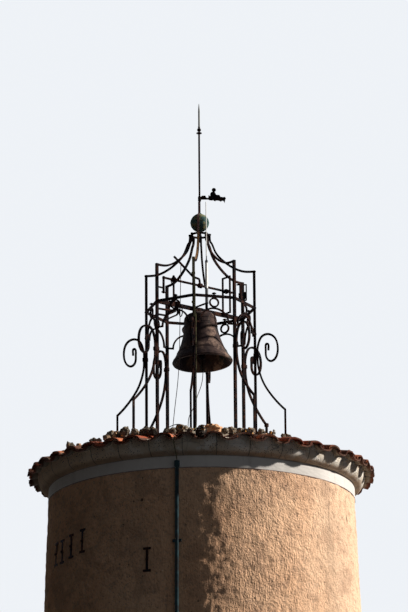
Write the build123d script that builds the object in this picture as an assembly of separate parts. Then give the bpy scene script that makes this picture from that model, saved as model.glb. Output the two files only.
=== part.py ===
"""Round rendered bell tower with a tiled roof and a wrought iron bell cage.

Millimetres. The origin is the centre of the base on the ground, +Z is up and
the side with the downpipe is -Y. The shaft is battered outside and plumb
inside, a masonry vault closes it, and the cage stands on a mortar cap.
"""
import math
import os

from build123d import *

os.makedirs("parts", exist_ok=True)

# Masonry shaft
shaft_height = 8565
shaft_top_radius = 1410
wall_batter = 0.033
wall_top_thickness = 460
wall_pieces = 6
band_height = 115
band_proud = 10
ovolo_height = 85
ovolo_reach = 96
cornice_lip = 25
cornice_bearing = 260
joint_gap = 0.5

# Roof
roof_slope = math.radians(13)
vault_edge_cover = 6
vault_springing_rise = 40
vault_crown_thickness = 230
tile_reach = 190
cover_lip = 25
eaves_drop = 4
pan_thickness = 20
cap_radius = 930
cap_thickness = 85
tile_rows = 42
cover_width = 170
cover_height = 40
cover_top_width = 88
cover_top_height = 28

# Doorway at the back
door_width = 820
door_side_height = 1700
door_rise = 230
door_thickness = 45
door_setback = 260

# Bell cage
cage_sides = 8
front_post_angle = -96.7
cage_radius = 513
hoop_rise = 1868
hoop_depth = 25
strip = 15
post_width = 24
post_rise = 358
rib_width = 18
rib_flat = 30
rib_shape = [(0.797, 0.02), (0.614, 0.095), (0.44, 0.21), (0.272, 0.363), (0.131, 0.56), (0.049, 0.77)]
ring_rise = 741
ring_depth = 18
ring_radius = 85
ring_wall = 10
ring_bar = 26
knob_radius = 21
knob_height = 24
knob_neck = 7

# Scroll struts
strut_width = 18
strut_play = 2
strut_foot_radius = 788
knee_drop = 995
brace_shape = [(0.776, 0.115), (0.457, 0.32), (0.173, 0.577), (0.03, 0.83)]
scroll_top_drop = 259
scroll_bottom_drop = 522
scroll_reach = 191
touch_drop = 498
tie_width = 26
tie_height = 34
scroll_shape = [
    (0.005, 0.490), (0.063, 0.688), (0.225, 0.920), (0.480, 1.0), (0.815, 0.894), (0.966, 0.673),
    (1.0, 0.433), (0.945, 0.198), (0.789, 0.034), (0.642, 0.0), (0.491, 0.068), (0.407, 0.243),
    (0.405, 0.420), (0.410, 0.591), (0.430, 0.6255), (0.4775, 0.640), (0.525, 0.6255), (0.545, 0.591),
    (0.545, 0.500), (0.540, 0.400)]

# Arched panel of one bay
circle_radius = 41
arch_foot_drop = 255
collar_radius = 10

# Mast, ball and vane
mast_radius = 9
mast_seat_radius = 16
mast_nut_radius = 18
mast_nut_height = 16
mast_foot_drop = 72
mast_knob_radius = 19
mast_knob_rise = 1799
mast_disc_radius = 26
mast_disc_rise = 1766
disc_thickness = 6
point_radius = 5
tip_radius = 1.5
tip_rise = 2066
ball_radius = 85
ball_rise = 864
vane_rise = 1107
vane_hub_radius = 15
vane_hub_height = 38
vane_washer = 6
vane_plate = 5
vane_outline = [
    (12, -10), (12, 14), (22, 29), (54, 30), (67, 8), (83, 7), (86, 34), (91, 34), (100, 22), (103, 51),
    (112, 65), (124, 68), (145, 66), (152, 52), (160, 37), (189, 36), (200, 17), (224, 13), (242, 16),
    (251, 0), (244, -15), (239, -47), (232, -30), (219, -22), (200, -31), (187, -23), (163, -19),
    (144, -28), (131, -17), (113, -19), (96, -17), (83, -10)]
vane_head_place = (137, 86)
vane_head_radius = 20
pivot_clearance = 1.5
seat_gap = 0.3

# Bell and its hanging
bell_shift = -5
bell_lean = 4
bell_radius = 284
bell_height = 482
mouth_drop = 528
lip_rise = 13
bell_wall = 20
lip_wall = 26
canon_width = 70
canon_thickness = 14
canon_play = 0.9
canon_gap = 3
canon_seat = 5
hanger_hole_drop = 15
hanger_toe = 10
hanger_strap = 6
hanger_width = 40
hanger_pin_radius = 7
beam_width = 24
beam_height = 36
lug_width = 30
lug_thickness = 6
staple_drop = 37
staple_pin_radius = 6
clapper_eye_radius = 16
clapper_eye_width = 14
clapper_eye_gap = 0.4
clapper_rod_radius = 9
clapper_ball_radius = 34
clapper_ball_drop = 355
clapper_tail_drop = 455

# Rocking shaft over the bell
rocker_rise = 242
rocker_radius = 11
rocker_near_end = 440
rocker_far_end = 385
stand_reach = 316
stand_width = 108
stand_top_rise = 380
stand_bar = 14
eye_radius = 24
rocker_collar = 10
crank_drop = 143
crank_width = 24
lever_angle = 195.8
lever_reach = 255
lever_rise = 271
lever_bar = 16

# Small fittings
aerial_place = (61, -160)
aerial_tube_radius = 12
aerial_tube_height = 415
whip_radius = 3
whip_top_rise = 1025
aerial_arm_size = (24, 8)
bracket_rise = 165
bracket_reach = 116
bracket_block = (26, 24, 60)
pipe_radius = 16.5
pipe_angle = -98.6
pipe_foot = 30
pipe_top_rise = 55
pipe_clips = 6
clip_width = 80
clip_height = 22
anchor_bar = 20
anchor_depth = 12
anchor_height = 220
anchor_cross = 70
anchor_angles = [-156, -150.8, -144.6, -137.9, -109.5]
anchor_drops = [595, 595, 575, 555, 815]

# Places worked out from the sizes above
tilt = math.degrees(math.atan(wall_batter))
shaft_bore_radius = shaft_top_radius - wall_top_thickness
cornice_bore_radius = shaft_top_radius - cornice_bearing
tile_edge_radius = shaft_top_radius + tile_reach
pan_edge_radius = tile_edge_radius - cover_lip
hoop_height = shaft_height + hoop_rise
pipe_top = shaft_height + pipe_top_rise
bay = 360 / cage_sides
half_bay = math.radians(bay / 2)
bay_face = cage_radius * math.cos(half_bay)
half_chord = cage_radius * math.sin(half_bay)
post_inner = cage_radius - post_width / 2
post_outer = cage_radius + post_width / 2
cornice_foot = shaft_height + band_height
cornice_top = cornice_foot + ovolo_height + cornice_lip
cornice_radius = shaft_top_radius + ovolo_reach
vault_edge_radius = cornice_radius - vault_edge_cover
roof_edge_height = cornice_top - eaves_drop
hoop_top = hoop_height + hoop_depth / 2
hoop_foot = hoop_height - hoop_depth / 2
post_top = hoop_height + post_rise
ring_top = hoop_height + ring_rise + ring_depth / 2
ring_foot = ring_top - ring_depth
beam_foot = hoop_height - beam_height / 2
beam_top = hoop_height + beam_height / 2
beam_angle = front_post_angle + 3 * bay
rocker_height = hoop_height + rocker_rise
mouth_height = hoop_height - mouth_drop
crown_height = mouth_height + bell_height
hanger_hole_height = beam_foot - hanger_hole_drop
staple_height = crown_height - bell_wall - staple_drop
sides = ["front", "front_right", "right", "back_right", "back", "back_left", "left", "front_left"]


def wall_radius(height):
    """Outside radius of the battered shaft at a height."""
    return shaft_top_radius + (shaft_height - height) * wall_batter


def roof_height(radius):
    """Height of the sloping masonry under the tiles."""
    return roof_edge_height + (pan_edge_radius - radius) * math.tan(roof_slope)


def turned(outline, angle=360):
    """A solid of revolution about the tower's axis from points of radius and height."""
    return revolve(Plane.XZ * make_face(Polyline(*outline, close=True)), Axis.Z, angle)


def slab(sketch, thickness):
    """A drawing of radius and height made a bar or plate, centred on the radial plane."""
    return extrude(Plane.XZ * sketch, thickness / 2, both=True)


def bay_plate(sketch, thickness):
    """A drawing made a plate that stands across one bay, between two posts."""
    face = Plane((bay_face, 0, 0), x_dir=(0, 1, 0), z_dir=(1, 0, 0)) * sketch
    return extrude(face, thickness / 2, both=True)


def save(shape, name):
    export_step(shape, f"parts/{name}.step")


# Battered shaft in upright slices, with the doorway cut through the back one
def doorway(clearance=0.0):
    half = door_width / 2 - clearance
    side = door_side_height - clearance
    crown = door_side_height + door_rise - clearance
    outline = Polyline((half, side), (half, 0), (-half, 0), (-half, side))
    outline += ThreePointArc((-half, side), (0, crown), (half, side))
    return make_face(outline)


wall_angle = 360 / wall_pieces
wall_slice = Rot(0, 0, -wall_angle / 2) * turned([
    (shaft_bore_radius, 0),
    (wall_radius(0), 0),
    (shaft_top_radius, shaft_height),
    (shaft_bore_radius, shaft_height),
], wall_angle)
door_plane = Plane((0, 0, 0), x_dir=(-1, 0, 0), z_dir=(0, 1, 0))
wall_names = [
    "back_wall", "back_left_wall", "front_left_wall",
    "front_wall", "front_right_wall", "back_right_wall"]
for index, name in enumerate(wall_names):
    wall = Rot(0, 0, 90 + index * wall_angle) * wall_slice
    if name == "back_wall":
        wall -= extrude(door_plane * doorway(), 2 * wall_radius(0))
    save(wall, name)

door_face = wall_radius(0) - door_setback
save(extrude(door_plane.offset(door_face - door_thickness) * doorway(joint_gap), door_thickness), "door")

# White band and quarter round cornice
save(turned([
    (cornice_bore_radius, shaft_height),
    (shaft_top_radius + band_proud, shaft_height),
    (wall_radius(cornice_foot) + band_proud, cornice_foot),
    (cornice_bore_radius, cornice_foot),
]), "white_band")

ovolo_start = shaft_top_radius
ovolo_mid = (ovolo_start + ovolo_reach * 0.70, cornice_foot + ovolo_height * 0.33)
cornice_line = Polyline(
    (cornice_radius, cornice_foot + ovolo_height),
    (cornice_radius, cornice_top),
    (cornice_bore_radius, cornice_top),
    (cornice_bore_radius, cornice_foot),
    (ovolo_start, cornice_foot),
)
cornice_line += ThreePointArc(
    (ovolo_start, cornice_foot), ovolo_mid, (cornice_radius, cornice_foot + ovolo_height))
save(revolve(Plane.XZ * make_face(cornice_line), Axis.Z), "cornice")

# Masonry vault that closes the shaft and carries the roof
vault_crown = roof_height(0) - vault_crown_thickness
springing = shaft_height + vault_springing_rise
vault_line = Polyline(
    (0, vault_crown),
    (0, roof_height(0)),
    (vault_edge_radius, roof_height(vault_edge_radius)),
    (vault_edge_radius, cornice_top),
    (cornice_bore_radius, cornice_top),
    (cornice_bore_radius, shaft_height),
    (shaft_bore_radius, shaft_height),
    (shaft_bore_radius, springing),
)
vault_rise = vault_crown - springing
vault_radius = (shaft_bore_radius**2 + vault_rise**2) / (2 * vault_rise)
vault_quarter = (
    shaft_bore_radius / 2,
    vault_crown - vault_radius + math.sqrt(vault_radius**2 - shaft_bore_radius**2 / 4),
)
vault_line += ThreePointArc((shaft_bore_radius, springing), vault_quarter, (0, vault_crown))
save(revolve(Plane.XZ * make_face(vault_line), Axis.Z), "roof_vault")

# Bed of channel tiles, rows of cover tiles and the mortar cap under the cage
save(turned([
    (cap_radius, roof_height(cap_radius)),
    (pan_edge_radius, roof_height(pan_edge_radius)),
    (pan_edge_radius, roof_height(pan_edge_radius) + pan_thickness),
    (cap_radius, roof_height(cap_radius) + pan_thickness),
]), "tile_pans")

mortar_cap = turned([
    (0, roof_height(0)),
    (cap_radius, roof_height(cap_radius)),
    (cap_radius, roof_height(cap_radius) + cap_thickness),
    (0, roof_height(0) + cap_thickness),
])
save(mortar_cap, "mortar_cap")


def cover_end(radius, width, height):
    """Half-round end of a row of cover tiles, standing on the channel tiles."""
    arch = ThreePointArc((-width / 2, 0), (0, height), (width / 2, 0))
    foot = roof_height(radius) + pan_thickness
    place = Plane((radius, 0, foot), x_dir=(0, 1, 0), z_dir=(1, 0, 0))
    return place * make_face(arch + Line((width / 2, 0), (-width / 2, 0)))


cover_row = loft([
    cover_end(cap_radius, cover_top_width, cover_top_height),
    cover_end(tile_edge_radius, cover_width, cover_height),
], ruled=True)
save(Compound([Rot(0, 0, row * 360 / tile_rows) * cover_row for row in range(tile_rows)]), "tile_covers")

# Cage posts, each bent inwards at the top and swept up to the ring
rib_top_radius = ring_radius + rib_width / 2
rib_run = cage_radius - rib_flat - rib_top_radius
rib_climb = ring_foot + ring_depth / 2 - post_top
rib_start = (cage_radius - rib_flat, post_top)
rib_line = Line((cage_radius, post_top), rib_start)
rib_line += Spline(
    rib_start,
    *[(rib_top_radius + along * rib_run, post_top + up * rib_climb) for along, up in rib_shape],
    (rib_top_radius, post_top + rib_climb),
    tangents=[(-1, 0), (0, 1)],
)
rib_line += Line((rib_top_radius, post_top + rib_climb), (rib_top_radius, ring_top))
post_foot = roof_height(cage_radius) + cap_thickness / 2
post_length = post_top + rib_width / 2 - post_foot
post = Pos(cage_radius, 0, post_foot + post_length / 2) * Box(post_width, post_width, post_length)
cage_post = post + slab(trace(rib_line, rib_width), rib_width) - mortar_cap

# Scroll strut that props the post from the mortar cap, tied to it by a collar
strut_touch = post_outer + strut_play + strut_width / 2
strut_foot = roof_height(strut_foot_radius) + cap_thickness / 2
knee = (strut_foot_radius, hoop_height - knee_drop)
touch = (strut_touch, hoop_height - touch_drop)
drop = touch[1] - knee[1]
spread = strut_foot_radius - strut_touch
leg = Line((strut_foot_radius, strut_foot), knee)
brace = Spline(
    knee,
    *[(strut_touch + along * spread, knee[1] + up * drop) for along, up in brace_shape],
    touch,
    tangents=[(-1, 0.9), (0, 1)],
)
scroll_tall = scroll_bottom_drop - scroll_top_drop
scroll_foot = hoop_height - scroll_bottom_drop
scroll = Spline(
    touch,
    *[(strut_touch + along * scroll_reach, scroll_foot + up * scroll_tall) for along, up in scroll_shape],
    tangents=[(0, 1), (0, -1)],
)
strut_drawing = trace(leg + brace + scroll, strut_width)
strut_drawing += Pos(*knee) * Circle(strut_width / 2)
scroll_strut = slab(strut_drawing, strut_width) - mortar_cap
tie_depth = strut_play + strut_width / 2
collar = Box(tie_depth, tie_width, tie_height)
scroll_strut += Pos(post_outer + tie_depth / 2, 0, touch[1] + tie_height) * collar

for index, side in enumerate(sides):
    place = Rot(0, 0, front_post_angle + index * bay)
    save(place * cage_post, f"cage_post_{side}")
    save(place * scroll_strut, f"scroll_strut_{side}")

# Hoop bar, circle and arch of one bay, seated against the posts on both sides
bay_posts = [Rot(0, 0, turn) * post for turn in (-bay / 2, bay / 2)]
hoop_bar = Pos(bay_face, 0, hoop_height) * Box(strip, 2 * half_chord, hoop_depth)
knob = turned([
    (0, 0), (knob_neck, 0), (knob_neck, 0.25 * knob_height), (knob_radius, 0.45 * knob_height),
    (knob_radius, 0.65 * knob_height), (0.35 * knob_radius, knob_height), (0, knob_height)])
hoop_bar += Pos(bay_face, 0, hoop_top) * knob
hoop_bar -= bay_posts

circle_outer = circle_radius + strip / 2
circle_centre = hoop_foot - circle_outer
arch_foot = hoop_height - arch_foot_drop
arch_crown = circle_centre - circle_outer
arch_radius = arch_crown - arch_foot - strip / 2
arch_line = Line((-half_chord, arch_foot), (-arch_radius, arch_foot))
arch_line += ThreePointArc((-arch_radius, arch_foot), (0, arch_foot + arch_radius), (arch_radius, arch_foot))
arch_line += Line((arch_radius, arch_foot), (half_chord, arch_foot))
panel_drawing = trace(arch_line, strip)
panel_drawing += Pos(0, circle_centre) * (Circle(circle_outer) - Circle(circle_outer - strip))
panel_drawing += Pos(0, arch_crown) * Circle(collar_radius)
panel_drawing += Pos(0, hoop_foot - strip / 2) * Rectangle(strip, strip)
panel_drawing += Pos(-arch_radius, arch_foot) * Circle(strip / 2)
panel_drawing += Pos(arch_radius, arch_foot) * Circle(strip / 2)
arch_panel = bay_plate(panel_drawing, strip) - bay_posts

bay_places = [Rot(0, 0, front_post_angle + (index + 0.5) * bay) for index in range(cage_sides)]
save(Compound([place * hoop_bar for place in bay_places]), "hoop")
save(Compound([place * arch_panel for place in bay_places]), "arch_panels")

# Ring that gathers the ribs, with the cross bar that the mast is bolted through
ring_middle = ring_foot + ring_depth / 2
ring = Cylinder(ring_radius, ring_depth) - Cylinder(ring_radius - ring_wall, ring_depth)
ring += Box(2 * ring_radius - ring_wall, ring_bar, ring_depth)
ring -= Cylinder(mast_radius + joint_gap, ring_depth)
save(Rot(0, 0, front_post_angle) * Pos(0, 0, ring_middle) * ring, "top_ring")

# Mast through the copper ball, with its collar, disc and knob
ball_height = hoop_height + ball_rise
ball_bore = mast_radius + joint_gap
seat_top = ball_height - math.sqrt(ball_radius**2 - ball_bore**2) - seat_gap
mast_foot = ring_middle - mast_foot_drop
vane_height = hoop_height + vane_rise
hub_foot = vane_height - vane_hub_height / 2
disc_foot = hoop_height + mast_disc_rise - disc_thickness / 2
mast_knob_height = hoop_height + mast_knob_rise
knob_join = math.sqrt(mast_knob_radius**2 - mast_radius**2)
mast_line = Polyline(
    (0, mast_knob_height + mast_knob_radius),
    (0, mast_foot),
    (mast_radius, mast_foot),
    (mast_radius, ring_foot - mast_nut_height),
    (mast_nut_radius, ring_foot - mast_nut_height),
    (mast_nut_radius, ring_foot),
    (mast_radius, ring_foot),
    (mast_radius, ring_top),
    (mast_seat_radius, ring_top),
    (mast_seat_radius, seat_top),
    (mast_radius, seat_top),
    (mast_radius, hub_foot - seat_gap - vane_washer),
    (vane_hub_radius, hub_foot - seat_gap - vane_washer),
    (vane_hub_radius, hub_foot - seat_gap),
    (mast_radius, hub_foot - seat_gap),
    (mast_radius, disc_foot),
    (mast_disc_radius, disc_foot),
    (mast_disc_radius, disc_foot + disc_thickness),
    (mast_radius, disc_foot + disc_thickness),
    (mast_radius, mast_knob_height - knob_join),
)
mast_line += ThreePointArc(
    (mast_radius, mast_knob_height - knob_join),
    (mast_knob_radius, mast_knob_height),
    (0, mast_knob_height + mast_knob_radius),
)
save(revolve(Plane.XZ * make_face(mast_line), Axis.Z), "mast")

ball = Sphere(ball_radius) - Cylinder(ball_bore, 3 * ball_radius)
save(Pos(0, 0, ball_height) * ball, "copper_ball")

point_foot = mast_knob_height + mast_knob_radius
point_length = hoop_height + tip_rise - point_foot
point = Cone(point_radius, tip_radius, point_length)
save(Pos(0, 0, point_foot + point_length / 2) * point, "lightning_point")

# Sheet iron vane on a hub that turns about the mast
hub = Cylinder(vane_hub_radius, vane_hub_height) - Cylinder(mast_radius + pivot_clearance, vane_hub_height)
figure = make_face(Polyline(*vane_outline, close=True)) + Pos(*vane_head_place) * Circle(vane_head_radius)
vane = hub + (slab(figure, vane_plate) - Cylinder(mast_radius + pivot_clearance, vane_hub_height))
save(Pos(0, 0, vane_height) * vane, "vane")

# Cast bell with its canon on top and the staple for the clapper inside
bell_place = Rot(0, 0, beam_angle) * Pos(bell_shift, 0, 0)
bell_place *= Pos(0, 0, hanger_hole_height) * Rot(-bell_lean, 0, 0) * Pos(0, 0, -hanger_hole_height)
lip_radius = bell_radius - lip_wall
bell_line = Polyline((lip_radius, 0), (bell_radius - lip_rise / 2, 0), (bell_radius, lip_rise))
bell_line += Spline(
    (bell_radius, lip_rise),
    (0.865 * bell_radius, 0.16 * bell_height),
    (0.726 * bell_radius, 0.335 * bell_height),
    (0.593 * bell_radius, 0.60 * bell_height),
    (0.538 * bell_radius, 0.90 * bell_height),
)
bell_line += Spline(
    (0.538 * bell_radius, 0.90 * bell_height),
    (0.45 * bell_radius, 0.98 * bell_height),
    (0, bell_height),
    tangents=[(-0.1, 1), (-1, 0)],
)
bell_line += Line((0, bell_height), (0, bell_height - bell_wall))
bell_line += Spline(
    (0, bell_height - bell_wall),
    (0.40 * bell_radius, bell_height - 1.4 * bell_wall),
    (0.538 * bell_radius - bell_wall, 0.88 * bell_height),
    tangents=[(1, 0), (0.1, -1)],
)
bell_line += Spline(
    (0.538 * bell_radius - bell_wall, 0.88 * bell_height),
    (0.593 * bell_radius - bell_wall, 0.60 * bell_height),
    (0.726 * bell_radius - bell_wall, 0.335 * bell_height),
    (0.865 * bell_radius - 1.6 * bell_wall, 0.16 * bell_height),
    (lip_radius, 0),
)
bell = Pos(0, 0, mouth_height) * revolve(Plane.XZ * make_face(bell_line), Axis.Z)

canon_top = beam_foot - canon_gap
canon_height = canon_top - crown_height + canon_seat
canon = Pos(0, 0, canon_top - canon_height / 2) * Box(canon_width, canon_thickness, canon_height)
pin_hole = Rot(90, 0, 0) * Cylinder(hanger_pin_radius + canon_play, canon_width)
bell += canon - Pos(0, 0, hanger_hole_height) * pin_hole

lug_gap = clapper_eye_width / 2 + pivot_clearance
lug_length = staple_drop + bell_wall
for side in (-1, 1):
    lug_y = side * (lug_gap + lug_thickness / 2)
    lug_z = staple_height - staple_pin_radius * 2 + lug_length / 2
    bell += Pos(0, lug_y, lug_z) * Box(lug_width, lug_thickness, lug_length)
bell += Pos(0, 0, staple_height) * Rot(90, 0, 0) * Cylinder(staple_pin_radius, 2 * (lug_gap + lug_thickness))
save(bell_place * bell, "bell")

# Beam between two posts, and the strap hanger that holds the bell
beam = Rot(0, 0, beam_angle) * Pos(0, 0, hoop_height) * Box(2 * post_inner, beam_width, beam_height)
save(beam - [place * hoop_bar for place in bay_places], "bell_beam")

strap_foot = hanger_hole_height - hanger_toe
strap_length = beam_top - strap_foot
hanger = Pos(0, 0, hanger_hole_height) * Rot(90, 0, 0) * Cylinder(
    hanger_pin_radius, beam_width + 4 * hanger_strap)
for side in (-1, 1):
    strap_y = side * (beam_width + hanger_strap) / 2
    hanger += Pos(0, strap_y, strap_foot + strap_length / 2) * Box(hanger_width, hanger_strap, strap_length)
save(Rot(0, 0, beam_angle) * Pos(bell_shift, 0, 0) * hanger, "bell_hanger")

# Clapper that hangs from the staple
clapper = Rot(90, 0, 0) * Cylinder(clapper_eye_radius, clapper_eye_width)
rod_length = clapper_tail_drop - clapper_eye_radius
rod_place = Pos(0, 0, -clapper_eye_radius - rod_length / 2 + 2)
clapper += rod_place * Cylinder(clapper_rod_radius * 0.75, rod_length)
clapper += Pos(0, 0, -clapper_ball_drop) * Sphere(clapper_ball_radius)
clapper -= Rot(90, 0, 0) * Cylinder(staple_pin_radius + clapper_eye_gap, clapper_eye_width)
save(bell_place * Pos(0, 0, staple_height) * clapper, "clapper")

# Rocking shaft in two stands on the beam, with its crank and lever
stand_height = stand_top_rise + hoop_height + stand_bar / 2 - beam_top
stand_eye = Pos(0, rocker_height) * Circle(eye_radius)
stand_bore = Pos(0, rocker_height) * Circle(rocker_radius + pivot_clearance)
far_stand = Pos(0, beam_top + stand_height / 2) * (
    Rectangle(stand_width + stand_bar, stand_height)
    - Rectangle(stand_width - stand_bar, stand_height - 2 * stand_bar))
far_stand += Pos(0, rocker_height) * Rectangle(stand_width, stand_bar) + stand_eye - stand_bore
upright_height = rocker_height - beam_top
near_stand = Pos(0, beam_top + upright_height / 2) * Rectangle(stand_bar, upright_height) + stand_eye
near_stand -= stand_bore
stands = [
    Pos(reach, 0, 0) * extrude(Plane.YZ * drawing, stand_bar / 2, both=True)
    for reach, drawing in ((stand_reach, far_stand), (-stand_reach, near_stand))]
save(Rot(0, 0, beam_angle) * Compound(stands), "shaft_stands")

rocker_length = rocker_near_end + rocker_far_end
rocker_middle = (rocker_far_end - rocker_near_end) / 2
rocker = Pos(rocker_middle, 0, 0) * Rot(0, 90, 0) * Cylinder(rocker_radius, rocker_length)
for side in (-1, 1):
    collar_x = side * (stand_reach - stand_bar / 2 - joint_gap - rocker_collar / 2)
    rocker += Pos(collar_x, 0, 0) * Rot(0, 90, 0) * Cylinder(0.85 * eye_radius, rocker_collar)
rocker += Rot(0, 90, 0) * Cylinder(eye_radius, 2 * lever_bar)
crank = Pos(0, -crank_drop / 2) * Rectangle(crank_width, crank_drop) + Circle(crank_width / 2 + 4)
crank += Pos(0, -crank_drop) * Circle(crank_width / 2)
crank_place = Pos(rocker_collar / 2 - rocker_near_end, 0, 0)
rocker += crank_place * extrude(Plane.YZ * crank, rocker_collar / 2, both=True)
rocker = Rot(0, 0, beam_angle) * rocker
lever_line = FilletPolyline(
    (0, 0), (0.03 * lever_reach, 0.24 * lever_rise), (0.26 * lever_reach, 0.30 * lever_rise),
    (lever_reach, lever_rise), radius=lever_bar)
rocker += Rot(0, 0, lever_angle) * slab(trace(lever_line, lever_bar), lever_bar)
save(Pos(0, 0, rocker_height) * rocker, "rocking_shaft")

# Aerial on a side arm of the beam
aerial_x, aerial_y = aerial_place
turn = math.radians(beam_angle)
arm_along = aerial_x * math.cos(turn) + aerial_y * math.sin(turn)
arm_across = aerial_y * math.cos(turn) - aerial_x * math.sin(turn)
arm_width, arm_depth = aerial_arm_size
arm_start = beam_width / 2
arm_end = arm_across - arm_width / 2
arm = Pos(arm_along, (arm_start + arm_end) / 2, beam_top + arm_depth / 2) * Box(
    arm_width, arm_start - arm_end, arm_depth)
save(Rot(0, 0, beam_angle) * arm, "aerial_arm")

tube_foot = beam_top + arm_depth
tube_top = tube_foot + aerial_tube_height
whip_top = hoop_height + whip_top_rise
aerial = turned([
    (0, tube_foot),
    (aerial_tube_radius, tube_foot),
    (aerial_tube_radius, tube_top),
    (whip_radius, tube_top),
    (whip_radius, whip_top),
    (0, whip_top),
])
save(Pos(aerial_x, aerial_y, 0) * aerial, "aerial")

# Angle bracket with its block, between the front right post and the hoop
bracket_edge = bracket_reach - half_chord
bracket_line = Polyline(
    (-half_chord, hoop_height + bracket_rise),
    (bracket_edge, hoop_height + bracket_rise),
    (bracket_edge, hoop_top))
bracket_drawing = trace(bracket_line, strip)
bracket_drawing += Pos(bracket_edge, hoop_height + bracket_rise) * Rectangle(strip, strip)
bracket = bay_plate(bracket_drawing, strip) - bay_posts
bracket += Pos(bay_face, bracket_edge, hoop_top + bracket_block[2] / 2) * Box(*bracket_block)
save(bay_places[1] * bracket, "side_bracket")

# Down pipe of the lightning conductor and the iron anchors, flat on the battered wall
def on_wall(angle, height, shape):
    """Place a fitting on the shaft, its X axis square to the battered face."""
    return Rot(0, 0, angle) * Pos(wall_radius(height), 0, height) * Rot(0, -tilt, 0) * shape


pipe_middle = (pipe_foot + pipe_top) / 2
pipe_length = pipe_top - pipe_foot
pipe_axis = band_proud + joint_gap + pipe_radius
pipe = Pos(pipe_axis, 0, 0) * Cylinder(pipe_radius, pipe_length)
for index in range(pipe_clips):
    clip_place = ((index + 0.5) / pipe_clips - 0.5) * pipe_length
    pipe += Pos(pipe_axis / 2, 0, clip_place) * Box(pipe_axis, clip_width, clip_height)
save(on_wall(pipe_angle, pipe_middle, pipe), "conductor_pipe")

anchor = Pos(anchor_depth / 2, 0, 0) * Box(anchor_depth, anchor_bar, anchor_height)
for side in (-1, 1):
    anchor += Pos(anchor_depth / 2, 0, side * (anchor_height - anchor_bar) / 2) * Box(
        anchor_depth, anchor_cross, anchor_bar)
anchors = [on_wall(angle, shaft_height - drop, anchor) for angle, drop in zip(anchor_angles, anchor_drops)]
save(Compound(anchors), "wall_anchors")
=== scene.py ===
"""The looks of a round rendered bell tower with a tiled roof and a wrought iron bell cage."""
import math
import random

import bmesh
import bpy
from mathutils import Matrix, Vector, noise
from mathutils.bvhtree import BVHTree


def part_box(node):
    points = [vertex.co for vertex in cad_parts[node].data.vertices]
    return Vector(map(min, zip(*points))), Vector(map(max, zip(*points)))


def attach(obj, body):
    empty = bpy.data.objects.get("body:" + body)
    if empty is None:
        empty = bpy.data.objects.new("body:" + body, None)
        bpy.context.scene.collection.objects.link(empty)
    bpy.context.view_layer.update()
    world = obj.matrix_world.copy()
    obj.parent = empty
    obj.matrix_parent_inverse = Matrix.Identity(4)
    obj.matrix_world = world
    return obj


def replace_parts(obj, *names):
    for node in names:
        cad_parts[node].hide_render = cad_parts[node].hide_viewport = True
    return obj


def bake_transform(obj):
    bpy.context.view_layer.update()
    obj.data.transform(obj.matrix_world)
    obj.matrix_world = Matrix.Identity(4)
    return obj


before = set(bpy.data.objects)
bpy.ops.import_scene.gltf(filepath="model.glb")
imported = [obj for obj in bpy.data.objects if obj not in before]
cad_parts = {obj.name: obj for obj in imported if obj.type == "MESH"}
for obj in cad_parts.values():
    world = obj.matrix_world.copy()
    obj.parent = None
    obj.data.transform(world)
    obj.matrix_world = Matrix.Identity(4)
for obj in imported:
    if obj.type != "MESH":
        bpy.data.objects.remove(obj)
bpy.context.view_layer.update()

# The tower is seen by someone standing thirty metres away who looks up through
# a long lens, so the eaves curve upwards and hide all of the roof but its edge.
eye_height = 1.6
eye_distance = 29.77
eye_side = 0.035
look_up = math.radians(16.6)
lean = math.radians(0.43)
lens_length = 194.1
eye = bpy.data.cameras.new("eye")
eye.lens = lens_length
eye.sensor_fit = "VERTICAL"
eye.sensor_height = 36
eye.clip_end = 200
camera = bpy.data.objects.new("eye", eye)
camera.matrix_world = (
    Matrix.Translation((eye_side, -eye_distance, eye_height))
    @ Matrix.Rotation(math.pi / 2 + look_up, 4, "X")
    @ Matrix.Rotation(-lean, 4, "Z"))
bpy.context.scene.collection.objects.link(camera)
bpy.context.scene.camera = camera
bpy.context.scene.view_settings.view_transform = "Standard"

# A hard lamp, low on the right, stands for the sun. Two wide soft boxes, in
# front and behind, and a faint room fill the shade. The backdrop is pale.
for name, energy, spread, colour, azimuth, elevation in (
        ("side_lamp", 5.55, 2.5, (1.0, 0.955, 0.89), 2.2, 27),
        ("front_box", 0.175, 60, (0.78, 0.88, 1.0), -60, 12),
        ("back_box", 0.7, 30, (0.95, 0.97, 1.0), 92, 25)):
    lamp = bpy.data.lights.new(name, "SUN")
    lamp.energy = energy
    lamp.angle = math.radians(spread)
    lamp.color = colour
    lamp_stand = bpy.data.objects.new(name, lamp)
    lamp_stand.rotation_euler = (math.radians(90 - elevation), 0, math.radians(90 + azimuth))
    bpy.context.scene.collection.objects.link(lamp_stand)
room_light = 0.021
room_colour = (1.0, 0.92, 0.88, 1)
backdrop_colour = (0.86, 0.89, 0.93, 1)
room = bpy.data.worlds.new("room")
room.use_nodes = True
room_tree = room.node_tree
room_fill = room_tree.nodes["Background"]
room_fill.inputs["Color"].default_value = room_colour
room_fill.inputs["Strength"].default_value = room_light
room_back = room_tree.nodes.new("ShaderNodeBackground")
room_back.inputs["Color"].default_value = backdrop_colour
room_back.inputs["Strength"].default_value = 1.0
room_path = room_tree.nodes.new("ShaderNodeLightPath")
room_seen = room_path.outputs["Is Camera Ray"]
for ray in ("Is Glossy Ray", "Is Transmission Ray"):
    either = room_tree.nodes.new("ShaderNodeMath")
    either.operation = "MAXIMUM"
    room_tree.links.new(room_seen, either.inputs[0])
    room_tree.links.new(room_path.outputs[ray], either.inputs[1])
    room_seen = either.outputs[0]
room_mix = room_tree.nodes.new("ShaderNodeMixShader")
room_tree.links.new(room_seen, room_mix.inputs[0])
room_tree.links.new(room_fill.outputs[0], room_mix.inputs[1])
room_tree.links.new(room_back.outputs[0], room_mix.inputs[2])
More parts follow.
